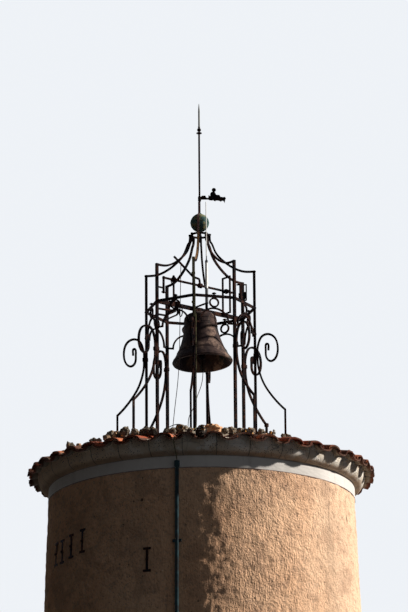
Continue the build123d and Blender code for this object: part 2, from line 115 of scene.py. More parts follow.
room_tree.links.new(room_mix.outputs[0], room_tree.nodes["World Output"].inputs["Surface"])
bpy.context.scene.world = room

# The floor is a pale square that takes the object's shadow. It throws no light
# back up, so that the shaded side stays as dark as it is.
floor_reach = 5
floor_form = bmesh.new()
bmesh.ops.create_grid(floor_form, x_segments=1, y_segments=1, size=floor_reach)
floor_mesh = bpy.data.meshes.new("floor")
floor_form.to_mesh(floor_mesh)
floor_form.free()
floor_finish = bpy.data.materials.new("floor")
floor_finish.use_nodes = True
floor_finish.node_tree.nodes["Principled BSDF"].inputs["Base Color"].default_value = (0.74, 0.75, 0.76, 1)
floor_finish.node_tree.nodes["Principled BSDF"].inputs["Roughness"].default_value = 0.9
floor_mesh.materials.append(floor_finish)
floor = bpy.data.objects.new("floor", floor_mesh)
bpy.context.scene.collection.objects.link(floor)
floor.visible_diffuse = False


# The shaft is rubble masonry under a thrown lime render, ochre with sand in it.
# Rain has greyed it in streaks; it is pitted, and has one crack and one hole.
class Value:
    """A number over the surface: sums and products of it write the Math nodes."""

    def __init__(self, socket):
        self.socket = socket

    def math(self, operation, *numbers):
        """One Math node over the numbers; self only says whose material it goes in."""
        node = self.socket.id_data.nodes.new("ShaderNodeMath")
        node.operation = operation
        for slot, number in zip(node.inputs, numbers):
            feed(slot, number)
        return Value(node.outputs[0])

    def __add__(self, other):
        return self.math("ADD", self, other)

    def __sub__(self, other):
        return self.math("SUBTRACT", self, other)

    def __rsub__(self, other):
        return self.math("SUBTRACT", other, self)

    def __mul__(self, other):
        return self.math("MULTIPLY", self, other)

    __radd__ = __add__
    __rmul__ = __mul__


def feed(slot, value):
    """Link a pattern to a node's socket, or set a plain number there."""
    if isinstance(value, Value):
        slot.id_data.links.new(value.socket, slot)
    else:
        slot.default_value = value


class Finish:
    """A material being mixed, with the object's own coordinates for its patterns."""

    def __init__(self, name):
        self.material = bpy.data.materials.new(name)
        self.material.use_nodes = True
        self.tree = self.material.node_tree
        self.place = self.node("TexCoord", output="Object")

    def node(self, kind, settings=None, sockets=None, output=0):
        fresh = self.tree.nodes.new("ShaderNode" + kind)
        for name, setting in (settings or {}).items():
            setattr(fresh, name, setting)
        for name, value in (sockets or {}).items():
            feed(fresh.inputs[name], value)
        return Value(fresh.outputs[output])

    def grain(self, scale, detail=4, roughness=0.55, place=None):
        return self.node("TexNoise", {}, {
            "Vector": place or self.place, "Scale": scale, "Detail": detail, "Roughness": roughness})

    def cells(self, scale, feature="F1"):
        return self.node("TexVoronoi", {"feature": feature}, {"Vector": self.place, "Scale": scale})

    def squeezed(self, x, y, z):
        return self.node("Mapping", {}, {"Vector": self.place, "Scale": (x, y, z)})

    def axis(self, letter):
        return self.node("SeparateXYZ", {}, {"Vector": self.place}, letter)

    def around(self):
        """Degrees round the tower, 0 on +X and -90 on the side with the down pipe."""
        side = self.axis("Y")
        return side.math("ARCTAN2", side, self.axis("X")) * math.degrees(1)

    def rise(self, value, low, high):
        """0 below low, 1 above high and a soft slope between; a low above the high falls instead."""
        return self.node("MapRange", {"interpolation_type": "SMOOTHSTEP"}, {
            "Value": value, "From Min": low, "From Max": high})

    def blend(self, mask, first, second):
        """Mix two colours, which a Mix node takes in its sockets 6 and 7 and gives at its output 2."""
        colours = {slot: colour if isinstance(colour, Value) else (*colour, 1)
                   for slot, colour in ((6, first), (7, second))}
        return self.node("Mix", {"data_type": "RGBA"}, {0: mask, **colours}, 2)

    def coat(self, colour, relief, depth, roughness, gloss):
        """Give the surface its colour, a relief so many metres deep, a roughness and a gloss."""
        bump = self.node("Bump", {}, {"Height": relief, "Distance": depth, "Strength": 1.0})
        surface = self.tree.nodes["Principled BSDF"].inputs
        for name, value in (("Base Color", colour), ("Normal", bump), ("Roughness", roughness),
                            ("Specular IOR Level", gloss)):
            feed(surface[name], value)
        return self.material


def dress(names, material):
    """Give the construction's own pieces their finish."""
    for name in names:
        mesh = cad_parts[name].data
        mesh.materials.clear()
        mesh.materials.append(material)


def thrown_render():
    finish = Finish("thrown_render")
    patches = finish.grain(0.9, 5, 0.6)
    streaks = finish.grain(3.0, 4, 0.6, finish.squeezed(1, 1, 0.12))
    sand = finish.grain(95, 2, 0.6)
    lumps = finish.grain(46, 5, 0.62)
    clots = finish.cells(60, "SMOOTH_F1")
    swell = finish.grain(5, 4, 0.6)
    dabs = finish.grain(17, 4, 0.6)
    drag = finish.grain(14, 3, 0.6, finish.node("Mapping", {}, {
        "Vector": finish.place, "Rotation": (0.5, 0.8, 0.2), "Scale": (5, 1, 1)}))
    grime = finish.grain(1.7, 6, 0.66)
    bruise = finish.grain(4.2, 7, 0.72)
    pits = finish.rise(finish.cells(13), 0.13, 0.04) * finish.rise(finish.grain(2.1), 0.46, 0.58)
    around = finish.around()
    height = finish.axis("Z")
    crack_azimuth, crack_foot, torn_top, crack_top = -22.6, 8.24, 8.33, 8.53
    beside = around - crack_azimuth - 0.5 + finish.grain(9, 3, 0.5)
    beside = beside.math("ABSOLUTE", beside)
    crack = (finish.rise(beside, 0.11, 0.03) * finish.rise(height, crack_foot, crack_foot + 0.02)
             * finish.rise(height, crack_top, crack_top - 0.03))
    torn = (finish.rise(beside, 0.34, 0.15) * finish.rise(height, crack_foot, crack_foot + 0.03)
            * finish.rise(height, torn_top, torn_top - 0.05))
    hole_azimuth, hole_height, metres_a_degree = -111.8, 8.296, 0.0248
    hole_side = (around - hole_azimuth) * metres_a_degree
    hole_up = height - hole_height
    from_hole = hole_side * hole_side + hole_up * hole_up
    hole = finish.rise(from_hole.math("SQRT", from_hole), 0.016, 0.010)
    damage = crack.math("MAXIMUM", crack, torn.math("MAXIMUM", torn, hole))
    colour = finish.blend(finish.rise(patches, 0.3, 0.7), (0.86, 0.49, 0.285), (0.97, 0.62, 0.39))
    # Painted light: the side towards the lamp, +X, is painted paler, as brightly sunlit render looks.
    painted_lamp_side_paling = finish.rise(finish.axis("X") + finish.grain(2.4, 4, 0.6) * 0.5, 0.9, 1.7)
    colour = finish.blend(painted_lamp_side_paling * 0.6, colour, (0.98, 0.74, 0.53))
    colour = finish.blend(finish.rise(grime, 0.46, 0.66) * 0.38, colour, (0.46, 0.29, 0.20))
    colour = finish.blend(finish.rise(bruise, 0.50, 0.60) * 0.42, colour, (0.44, 0.26, 0.17))
    colour = finish.blend(finish.rise(lumps, 0.48, 0.30) * 0.60, colour, (0.40, 0.22, 0.14))
    colour = finish.blend(finish.rise(dabs, 0.46, 0.32) * 0.40, colour, (0.40, 0.26, 0.19))
    colour = finish.blend(finish.rise(lumps, 0.6, 0.78) * 0.45, colour, (0.98, 0.78, 0.60))
    colour = finish.blend(finish.rise(streaks, 0.55, 0.75) * 0.3, colour, (0.40, 0.29, 0.20))
    colour = finish.blend(finish.rise(sand, 0.62, 0.75) * 0.3, colour, (0.98, 0.82, 0.66))
    colour = finish.blend(pits * 0.6 + damage * 0.9, colour, (0.10, 0.06, 0.04))
    relief = lumps * 0.5 - clots * 0.22 + sand * 0.24 + swell + bruise * 0.8 + dabs * 0.6 + drag * 0.5
    return finish.coat(colour, relief - pits * 0.8 - damage * 1.4, 0.022, roughness=0.94, gloss=0.05)


crease = math.radians(38)
weld_reach = 1e-5


def made(name, form, material, body="tower"):
    """Close the drawing, give it its finish and let it ride on its body."""
    bmesh.ops.recalc_face_normals(form, faces=form.faces)
    mesh = bpy.data.meshes.new(name)
    form.to_mesh(mesh)
    form.free()
    mesh.shade_smooth()
    mesh.set_sharp_from_angle(angle=crease)
    mesh.materials.append(material)
    piece = bpy.data.objects.new(name, mesh)
    bpy.context.scene.collection.objects.link(piece)
    if body:
        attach(piece, body)
    return piece


def added(form, part, place=Matrix()):
    """Put one closed shape into the drawing."""
    bmesh.ops.remove_doubles(part, verts=part.verts, dist=weld_reach)
    bmesh.ops.recalc_face_normals(part, faces=part.faces)
    bmesh.ops.transform(part, matrix=place, verts=part.verts)
    shape = bpy.data.meshes.new("shape")
    part.to_mesh(shape)
    part.free()
    form.from_mesh(shape)
    bpy.data.meshes.remove(shape)


def turned(form, outline, place=Matrix(), steps=24, ring=False):
    """Turn an outline of (radius, height) as on a lathe; a ring's outline comes back to its start."""
    part = bmesh.new()
    corners = [part.verts.new((radius, 0, height)) for radius, height in outline]
    ends = corners[1:] + corners[:1] if ring else corners[1:]
    edges = [part.edges.new(pair) for pair in zip(corners, ends)]
    bmesh.ops.spin(part, geom=corners + edges, cent=(0, 0, 0), axis=(0, 0, 1), angle=math.tau,
                   steps=steps, use_merge=True)
    added(form, part, place)


neck_radius, neck_height, taper = 1.410, 8.565, 0.033


def wall_radius(height):
    """The shaft narrows by its taper up to its neck under the band."""
    return neck_radius + (neck_height - height) * taper


render_finish = thrown_render()
dress([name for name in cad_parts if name.endswith("_wall")], render_finish)

# Under the eaves the thrown coat has kept its lumps and hollows, which stand
# out wherever the light grazes them. Lower down the rain has worn it flatter.
coat_foot = 2.15
coat_waist = 6.35
coat_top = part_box("white_band")[0].z + 0.003
coat_back = 0.04
coat_fading = 0.35
worn_rows, lumpy_rows, coat_steps = 50, 102, 384
coat_levels = [coat_foot + (coat_waist - coat_foot) * row / worn_rows for row in range(worn_rows)]
coat_levels += [coat_waist + (coat_top - coat_waist) * row / lumpy_rows for row in range(lumpy_rows + 1)]
coat_form = bmesh.new()
turned(coat_form, [(wall_radius(level), level) for level in coat_levels]
       + [(wall_radius(coat_top) - coat_back, coat_top), (wall_radius(coat_foot) - coat_back, coat_foot)],
       steps=coat_steps, ring=True)
thinnest, thickest, sunk = 0.0006, 0.0098, 0.003
for corner in coat_form.verts:
    spot = corner.co.copy()
    out = Vector((spot.x, spot.y, 0)).normalized()
    if spot.xy.length > wall_radius(spot.z) - 0.01:
        lump = 0.0050 + 0.0030 * noise.noise(spot * 3.3) + 0.0050 * noise.noise(spot * 9)
        lump += 0.0060 * noise.noise(spot * 21 + Vector((5, 3, 8))) + 0.0046 * noise.noise(spot * 36)
        kept = min(1, (spot.z - coat_foot) / coat_fading)
        corner.co += out * (min(max(lump, thinnest), thickest) * kept - sunk * (1 - kept))
made("render_coat", coat_form, render_finish)


# The band is trowelled smooth and limewashed. Soot and rain have greyed it in
# streaks. It is darker along its lower edge, and a painted shadow lines its top.
def limewash():
    finish = Finish("limewash")
    clouds = finish.grain(1.6, 5, 0.6)
    streaks = finish.grain(9, 4, 0.6, finish.squeezed(1, 1, 0.2))
    trowel = finish.grain(14, 3, 0.5, finish.squeezed(1, 1, 3))
    height = finish.axis("Z") + finish.grain(20, 3, 0.6) * 0.006
    low, high = (corner.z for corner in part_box("white_band"))
    colour = finish.blend(finish.rise(clouds, 0.35, 0.7), (0.68, 0.64, 0.595), (0.82, 0.77, 0.72))
    colour = finish.blend(finish.rise(streaks, 0.52, 0.72) * 0.45, colour, (0.44, 0.40, 0.36))
    colour = finish.blend(finish.rise(height, low + 0.011, low + 0.006) * 0.8, colour, (0.16, 0.075, 0.055))
    # Partly the joint and partly painted shadow: a dark line along the top edge, where the cornice shades the
    # band.
    colour = finish.blend(finish.rise(height, high - 0.006, high) * 0.6, colour, (0.20, 0.13, 0.10))
    return finish.coat(colour, trowel, 0.004, roughness=0.85, gloss=0.1)


dress(["white_band"], limewash())


# The cornice is a quarter round of cast lengths set in mortar under the tiles.
# Its wash has flaked, its joints have opened and lichen has taken parts of it.
cornice_lengths = 31
first_joint = -95.5


def cornice_wash():
    finish = Finish("cornice_wash")
    clouds = finish.grain(2.2, 5, 0.6)
    flakes = finish.rise(finish.grain(7, 6, 0.65), 0.50, 0.56)
    lichen = finish.rise(finish.cells(60), 0.35, 0.2) * finish.rise(finish.grain(4), 0.46, 0.58)
    around = finish.around() + finish.grain(3, 2, 0.5) * 1.5 - first_joint
    joints = finish.rise(around.math("PINGPONG", around, 180 / cornice_lengths), 0.16, 0.06)
    cracks = finish.rise(finish.cells(9, "DISTANCE_TO_EDGE"), 0.012, 0.003)
    cracks *= finish.rise(finish.grain(1.7), 0.5, 0.6)
    height = finish.axis("Z") + finish.grain(6, 4, 0.6) * 0.03
    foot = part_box("cornice")[0].z
    colour = finish.blend(finish.rise(clouds, 0.35, 0.65), (0.66, 0.56, 0.44), (0.84, 0.76, 0.65))
    colour = finish.blend(flakes * 0.8, colour, (0.90, 0.85, 0.77))
    # Painted light: the side away from the lamp, towards -X, is painted paler and warmer for light thrown
    # back onto it.
    colour = finish.blend(finish.rise(finish.axis("X"), -0.2, -1.2) * 0.8, colour, (0.95, 0.72, 0.50))
    colour = finish.blend(lichen * 0.85, colour, (0.16, 0.13, 0.10))
    # Partly painted shade and partly grime: the downturned foot of the quarter round is painted brown.
    colour = finish.blend(finish.rise(height, foot + 0.055, foot + 0.025) * 0.75, colour, (0.42, 0.28, 0.18))
    colour = finish.blend(joints * 0.7 + cracks * 0.6, colour, (0.085, 0.07, 0.055))
    relief = flakes * 0.4 + clouds * 0.6 + finish.grain(45, 3, 0.6) * 0.25 - joints * 0.8 - cracks * 0.5
    return finish.coat(colour, relief, 0.010, roughness=0.9, gloss=0.05)


cornice_finish = cornice_wash()
dress(["cornice"], cornice_finish)


# Canal tiles of fired clay edge the roof in two courses, hollow channels below
# and crowned covers over the joints, sooty and grown with lichen.
tile_rows = 42
clay_thickness = 0.013
channel_shape = (0.049, 0.0225, -0.0256)
cover_shape = (0.053, 0.0125, 0.0312)
channel_lead = 0.006
roof_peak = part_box("roof_vault")[1].z
roof_fall = math.tan(math.radians(13))
eaves_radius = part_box("tile_covers")[1].x
# The tiles were laid by hand, so some rows stand a degree or two off.
row_shift = {-13: -1.4, -9: 1.4, -8: 1.2, -7: 1.7, -6: 1.7, -5: 1.5, -4: 2.3, -3: 1.0, -2: -0.8}
chance = random.Random(11)
row_turns = [360 / tile_rows * row + row_shift.get(row, chance.uniform(-0.7, 0.7)) for row in range(-21, 21)]
row_turns.append(row_turns[0] + 360)


def roof_height(radius):
    return roof_peak - radius * roof_fall


def joined(form, rings):
    """Skin a row of rings that have the same number of corners."""
    for first, second in zip(rings, rings[1:]):
        for k in range(len(first)):
            form.faces.new((first[k - 1], first[k], second[k], second[k - 1]))


def fired_clay():
    finish = Finish("fired_clay")
    shade = finish.node("Attribute", {"attribute_name": "tile_shade"}, {}, "Fac")
    smeared = finish.node("Attribute", {"attribute_name": "tile_mortar"}, {}, "Fac")
    soot = finish.grain(5, 6, 0.65)
    grit = finish.grain(60, 3, 0.6)
    side, front = finish.axis("X"), finish.axis("Y")
    reach = side.math("SQRT", side * side + front * front)
    painted_shade_ends = finish.rise(reach + finish.grain(24, 3, 0.6) * 0.02, eaves_radius - 0.012, eaves_radius + 0.006)
    inside = finish.rise(reach + finish.grain(16, 3, 0.6) * 0.03, eaves_radius - 0.005, eaves_radius - 0.035)
    colour = finish.blend(finish.rise(shade, 0.1, 0.9), (0.36, 0.085, 0.04), (0.70, 0.25, 0.12))
    colour = finish.blend(finish.rise(soot + shade * 0.25, 0.56, 0.72) * 0.9, colour, (0.085, 0.05, 0.038))
    lichen = finish.rise(finish.grain(11, 5, 0.6), 0.56, 0.66)
    colour = finish.blend(lichen * 0.75, colour, (0.42, 0.36, 0.28))
    colour = finish.blend(finish.rise(grit, 0.62, 0.74) * 0.5, colour, (0.05, 0.04, 0.03))
    # Painted shade: the last centimetres of every tile at the eaves, ends and hollows, are painted dark.
    colour = finish.blend(painted_shade_ends * 0.75, colour, (0.085, 0.030, 0.022))
    colour = finish.blend(finish.rise(smeared, 0.05, 0.25) * 0.75, colour, (0.095, 0.050, 0.036))
    colour = finish.blend(finish.rise(smeared, 0.55, 0.9) * inside, colour, (0.36, 0.32, 0.265))
    return finish.coat(colour, grit + soot, 0.005, roughness=0.9, gloss=0.1)


def tile(form, turn, low, high, spread, start, reach, low_lift, high_lift):
    """One half barrel from its lower to its upper end; a reach below nothing makes a channel."""
    yaw = chance.uniform(-0.012, 0.012)
    slide = chance.uniform(-0.010, 0.010)
    roll = chance.uniform(-0.05, 0.05)
    shade = chance.random()
    steps, stations = 11, 4
    rings = []
    for station in range(stations):
        along = station / (stations - 1)
        radius = low + (high - low) * along + slide
        width = spread * radius
        thin = math.copysign(clay_thickness, reach)
        lift = low_lift + (high_lift - low_lift) * along + chance.uniform(-0.0015, 0.0015)
        ring = []
        for wide, tall in ((width, reach * radius), (width - clay_thickness, reach * radius - thin)):
            arc = []
            for step in range(steps):
                bow = math.pi * step / (steps - 1)
                side = -math.cos(bow) * wide
                up = start * radius + tall * math.sin(bow) + lift + roll * side
                chip = chance.uniform(-0.004, 0.004) if station in (0, stations - 1) else 0
                place = Vector((radius + chip, side + yaw * (radius - low), roof_height(radius) + up))
                arc.append(form.verts.new(Matrix.Rotation(turn, 4, "Z") @ place))
                arc[-1][tile_shade] = shade
                arc[-1][tile_mortar] = (1 if wide == width else 0.3) if reach < 0 else 0
            ring.append(arc)
        rings.append(ring[0] + ring[1][::-1])
    joined(form, rings)
    for ring in (rings[0], rings[-1]):
        for k in range(steps - 1):
            form.faces.new((ring[k], ring[k + 1], ring[-k - 2], ring[-k - 1]))


clay = fired_clay()
dress(["tile_pans", "tile_covers"], clay)
tiles_form = bmesh.new()
tile_shade = tiles_form.verts.layers.float.new("tile_shade")
tile_mortar = tiles_form.verts.layers.float.new("tile_mortar")
row_angles = [math.radians(turn) for turn in row_turns]
for turn, after in zip(row_angles, row_angles[1:]):
    for low, high, low_lift, high_lift in (
            (eaves_radius, 1.17, 0.0, 0.0), (1.26, 0.84, 0.014, 0.004)):
        tile(tiles_form, (turn + after) / 2, low - channel_lead, high, *channel_shape, low_lift, high_lift)
        tile(tiles_form, turn, low, high, *cover_shape, low_lift, high_lift)
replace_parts(made("canal_tiles", tiles_form, clay), "tile_pans", "tile_covers")


# Rough mortar with broken tile in it caps the roof, thicker round the iron feet
# and ragged where it runs out over the tiles.
def rough_mortar():
    finish = Finish("rough_mortar")
    clots = finish.grain(18, 6, 0.6)
    crust = finish.rise(finish.grain(5, 6, 0.65), 0.45, 0.6)
    chips = finish.rise(finish.cells(24), 0.16, 0.10) * finish.rise(finish.grain(6), 0.50, 0.56)
    colour = finish.blend(finish.rise(clots, 0.35, 0.65), (0.20, 0.155, 0.12), (0.46, 0.38, 0.29))
    colour = finish.blend(crust * 0.5, colour, (0.40, 0.37, 0.31))
    colour = finish.blend(chips * 0.8, colour, (0.50, 0.22, 0.12))
    return finish.coat(colour, clots, 0.02, roughness=0.95, gloss=0.05)


mortar_finish = rough_mortar()
dress(["roof_vault", "mortar_cap"], mortar_finish)
cap_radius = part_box("mortar_cap")[1].x
front_post = math.radians(-96.7)
post_reach, strut_reach = 0.513, 0.788
feet = [
    Matrix.Rotation(front_post + index * math.pi / 4, 4, "Z") @ Vector((reach, 0, 0))
    for index in range(8) for reach in (post_reach, strut_reach)]
mound_form = bmesh.new()
mound_depth = 0.083
mound_skirt = -0.004
mound_steps, mound_rows = 180, 30
mound_rings = []
for ring in range(1, mound_rows + 1):
    share = ring / mound_rows
    row = []
    for step in range(mound_steps):
        turn = math.tau * step / mound_steps
        out = Vector((math.cos(turn), math.sin(turn), 0))
        rim = cap_radius + 0.03 + 0.035 * noise.noise(out * 9) + 0.012 * math.cos(tile_rows * turn)
        spot = out * rim * share
        depth = mound_depth * (1 - share ** 12)
        depth += 0.020 * noise.noise(spot * 7) + 0.012 * noise.noise(spot * 22 + Vector((3, 1, 4)))
        depth += 0.022 * sum(math.exp(-((spot - foot).length / 0.055) ** 2) for foot in feet)
        row.append(mound_form.verts.new((spot.x, spot.y, roof_height(spot.length) + max(depth, 0.012))))
    mound_rings.append(row)
under = [mound_form.verts.new((corner.co.x, corner.co.y, roof_height(corner.co.xy.length) + mound_skirt))
         for corner in mound_rings[-1]]
joined(mound_form, mound_rings + [under])
for ring, height in ((mound_rings[0], mound_depth), (under, mound_skirt)):
    middle = mound_form.verts.new((0, 0, roof_height(0) + height))
    for step in range(mound_steps):
        mound_form.faces.new((ring[step - 1], ring[step], middle))
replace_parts(made("mortar_mound", mound_form, mortar_finish), "mortar_cap")

# Grey mortar beds the lowest tiles. It fills the space between the cornice and
# the wave of the tiles, and its face is left as the trowel pressed it.
bed_form = bmesh.new()
bed_steps = 12
bed_back = 1.44
bed_rings = []
for turn, after in zip(row_turns, row_turns[1:]):
    for step in range(bed_steps):
        share = step / bed_steps
        angle = math.radians(turn + (after - turn) * share)
        out = Vector((math.cos(angle), math.sin(angle), 0))
        wave = 0.026 + 0.029 * math.cos(math.tau * share)
        rough = 0.007 * noise.noise(out * 24) + 0.004 * noise.noise(out * 70)
        ring = []
        for radius, height in (
                (bed_back, roof_height(bed_back) - 0.030), (1.490, 8.772), (1.508 + rough, 8.776),
                (1.512 + rough, 8.789 + 0.35 * wave), (1.518 + rough, roof_height(1.52) + wave),
                (bed_back, roof_height(bed_back) + 0.020)):
            ring.append(bed_form.verts.new(out * radius + Vector((0, 0, height))))
        bed_rings.append(ring)
joined(bed_form, bed_rings + [bed_rings[0]])
made("tile_bedding", bed_form, cornice_finish)


# Field stones and broken tile are laid loose along the roof edge, and on the
# mortar, to hold the tiles down. Lichen has spotted the old ones.
def field_stone():
    finish = Finish("field_stone")
    shade = finish.node("Attribute", {"attribute_name": "stone_shade"}, {}, "Fac")
    speckle = finish.grain(40, 5, 0.65)
    rust = finish.rise(finish.cells(34), 0.34, 0.22) * finish.rise(finish.grain(13), 0.46, 0.54)
    frost = finish.rise(finish.cells(55), 0.30, 0.18) * finish.rise(finish.grain(19), 0.48, 0.56)
    colour = finish.blend(finish.rise(shade, 0.05, 0.35), (0.045, 0.035, 0.03), (0.27, 0.22, 0.165))
    colour = finish.blend(finish.rise(shade, 0.55, 0.68), colour, (0.80, 0.46, 0.26))
    colour = finish.blend(finish.rise(shade, 0.88, 0.98), colour, (0.80, 0.79, 0.76))
    plain = finish.rise(shade, 0.62, 0.52)
    colour = finish.blend(finish.rise(speckle, 0.48, 0.60) * plain * 0.85, colour, (0.05, 0.04, 0.033))
    colour = finish.blend(rust * plain, colour, (0.72, 0.34, 0.09))
    colour = finish.blend(frost * plain, colour, (0.72, 0.68, 0.60))
    return finish.coat(colour, speckle, 0.012, roughness=0.93, gloss=0.05)


stones_form = bmesh.new()
stone_shade = stones_form.verts.layers.float.new("stone_shade")


def stone(azimuth, radius, low, top, width, shade, depth=None):
    """A lump between two heights over the roof's plane, turned and dented by chance."""
    size = Vector(((depth or width) / 2, width / 2, (top - low) / 2))
    place = (Matrix.Rotation(math.radians(azimuth), 4, "Z")
             @ Matrix.Translation((radius, 0, roof_height(radius) + (low + top) / 2)))
    drift = Vector((chance.random(), chance.random(), chance.random())) * 40
    for corner in bmesh.ops.create_icosphere(stones_form, subdivisions=3, radius=1)["verts"]:
        way = corner.co.normalized()
        bulge = 1 + 0.45 * noise.noise(way * 1.6 + drift) - 0.35 * abs(noise.noise(way * 3.6 + drift))
        bulge += 0.22 * noise.noise(way * 8 + drift)
        corner.co = place @ Vector(x * y for x, y in zip(way * bulge, size))
        corner[stone_shade] = shade


for lump in (
        (-84.7, 1.25, 0.045, 0.146, 0.160, 0.75), (-90.0, 1.47, 0.012, 0.128, 0.095, 0.02),
        (-97.8, 1.27, 0.045, 0.142, 0.115, 0.50), (-112.5, 1.25, 0.045, 0.146, 0.150, 0.22),
        (-104.3, 1.25, 0.045, 0.121, 0.070, 0.45), (-118.5, 1.42, 0.050, 0.163, 0.098, 0.30),
        (-126.6, 1.42, 0.050, 0.118, 0.070, 0.60), (-146.4, 1.42, 0.045, 0.136, 0.090, 0.40),
        (-77.6, 1.25, 0.045, 0.124, 0.098, 0.35), (-69.3, 1.25, 0.045, 0.127, 0.090, 0.45),
        (-62.7, 1.42, 0.045, 0.124, 0.030, 1.00), (-63.9, 1.42, 0.045, 0.105, 0.070, 0.10),
        (-18.4, 1.42, 0.045, 0.130, 0.060, 0.62), (-29.0, 1.40, 0.045, 0.098, 0.060, 0.35),
        (-135.5, 1.36, 0.045, 0.128, 0.080, 0.15), (-53.5, 1.30, 0.045, 0.108, 0.080, 0.28),
        (-128.9, 1.30, 0.045, 0.150, 0.120, 0.32), (-124.4, 1.33, 0.045, 0.135, 0.085, 0.64),
        (-133.0, 1.36, 0.045, 0.112, 0.075, 0.92), (-108.6, 1.33, 0.045, 0.128, 0.080, 0.12),
        (-115.8, 1.36, 0.045, 0.140, 0.080, 0.42), (-121.5, 1.40, 0.045, 0.120, 0.060, 0.18),
        (-101.0, 1.34, 0.045, 0.118, 0.070, 0.30), (-93.8, 1.40, 0.040, 0.105, 0.060, 0.48),
        (-80.9, 1.36, 0.045, 0.108, 0.070, 0.38), (-73.5, 1.38, 0.045, 0.110, 0.060, 0.08),
        (-66.8, 1.36, 0.045, 0.120, 0.070, 0.52), (-58.3, 1.40, 0.045, 0.098, 0.050, 0.33),
        (-140.8, 1.42, 0.045, 0.104, 0.060, 0.66), (-153.0, 1.40, 0.045, 0.100, 0.070, 0.25)):
    stone(*lump)
for count, azimuths, radii, ground in (
        (28, (0, 170), (1.0, 1.36), 0.045), (18, (-180, 180), (0.15, 0.86), 0.070)):
    for extra in range(count):
        size = chance.uniform(0.045, 0.12)
        azimuth = chance.uniform(*azimuths)
        radius = chance.uniform(*radii)
        shade = chance.choice((0.1, 0.3, 0.45, 0.5, 0.7))
        stone(azimuth, radius, ground, ground + size * 0.6, size, shade, size * 0.8)
made("roof_stones", stones_form, field_stone())


# All the smith's work is wrought bar iron, bent hot and riveted. It was painted
# once, and is now black and brown with rust that has scaled.
def rusted_iron():
    finish = Finish("rusted_iron")
    blotch = finish.grain(14, 6, 0.6)
    scale = finish.grain(90, 3, 0.6)
    colour = finish.blend(finish.rise(blotch, 0.44, 0.66), (0.004, 0.004, 0.006), (0.048, 0.022, 0.017))
    colour = finish.blend(finish.rise(scale, 0.58, 0.72) * 0.55, colour, (0.24, 0.100, 0.050))
    roughness = finish.rise(blotch, 0.2, 0.8) * 0.3 + 0.6
    return finish.coat(colour, scale + blotch, 0.002, roughness, gloss=0.02)


iron = rusted_iron()
iron_pieces = [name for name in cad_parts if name.startswith(("cage_post", "scroll_strut"))]
dress(iron_pieces + [
    "hoop", "arch_panels", "top_ring", "bell_beam", "bell_hanger", "shaft_stands", "side_bracket",
    "wall_anchors", "mast", "vane", "rocking_shaft", "clapper", "aerial_arm"], iron)


# The smith's joints: rivets on the posts and ring, collars that tie the scrolls
# and arches, forged lumps at two knees and nuts on the wall anchors.
def block(form, size, place, edge=0.0025):
    part = bmesh.new()
    bmesh.ops.create_cube(part, size=1, matrix=Matrix.Diagonal((*size, 1)))
    bmesh.ops.bevel(part, geom=part.verts[:] + part.edges[:], offset=edge, affect="EDGES",
                    segments=2, profile=0.5, material=-1)
    added(form, part, place)


def on_cage(turn, radius, height):
    """A place on the cage whose own x points outwards; turn counts eighths from the front post."""
    return (Matrix.Rotation(front_post + turn * math.pi / 4, 4, "Z")
            @ Matrix.Translation((radius, 0, height)))


outwards = Matrix.Rotation(math.pi / 2, 4, "Y")
rivet = [(0, -0.001), (0.0075, -0.001), (0.0072, 0.0018), (0.0052, 0.0042), (0.0026, 0.0054), (0, 0.0058)]
nut = [(0, -0.002), (0.013, -0.002), (0.013, 0.008), (0.011, 0.0105),
       (0.006, 0.0105), (0.006, 0.015), (0, 0.0155)]
post_face, ring_face, panel_reach = 0.525, 0.103, 0.474
post_rivets, ring_rivet = (10.178, 10.433, 10.791), 11.174
scroll_tie, arch_tie, knee_height = 9.969, 10.3235, 9.438
scroll_collar, arch_collar, knee_lump = (0.052, 0.032, 0.036), (0.0195, 0.028, 0.018), (0.036, 0.034, 0.040)
anchor_thickness = 0.012
anchors = ((-156, 7.970), (-150.8, 7.970), (-144.6, 7.990), (-137.9, 8.010), (-109.5, 7.750))
fittings_form = bmesh.new()
for turn in range(8):
    if turn:
        for height in post_rivets:
            turned(fittings_form, rivet, on_cage(turn, post_face, height) @ outwards, 10)
        turned(fittings_form, rivet, on_cage(turn, ring_face, ring_rivet) @ outwards, 10)
    block(fittings_form, scroll_collar, on_cage(turn, post_face - 0.0015, scroll_tie))
    block(fittings_form, arch_collar, on_cage(turn + 0.5, panel_reach, arch_tie))
    if turn in (3, 5):
        block(fittings_form, knee_lump, on_cage(turn, strut_reach, knee_height), 0.009)
for azimuth, height in anchors:
    turned(fittings_form, nut, Matrix.Rotation(math.radians(azimuth), 4, "Z")
           @ Matrix.Translation((wall_radius(height) + anchor_thickness, 0, height)) @ outwards, 6)

# The rocking shaft's near stand is strapped over its eye and clamped to the
# beam. A shackle hangs beside the bell, and a pin holds the crank's link.
beam_way = Matrix.Rotation(front_post + 3 * math.pi / 4, 4, "Z")
near_stand = -0.316
shaft_height = 10.675
beam_middle = 10.433
link_height = 10.574
shackle_place = -0.232
saddle_bow = 0.0265


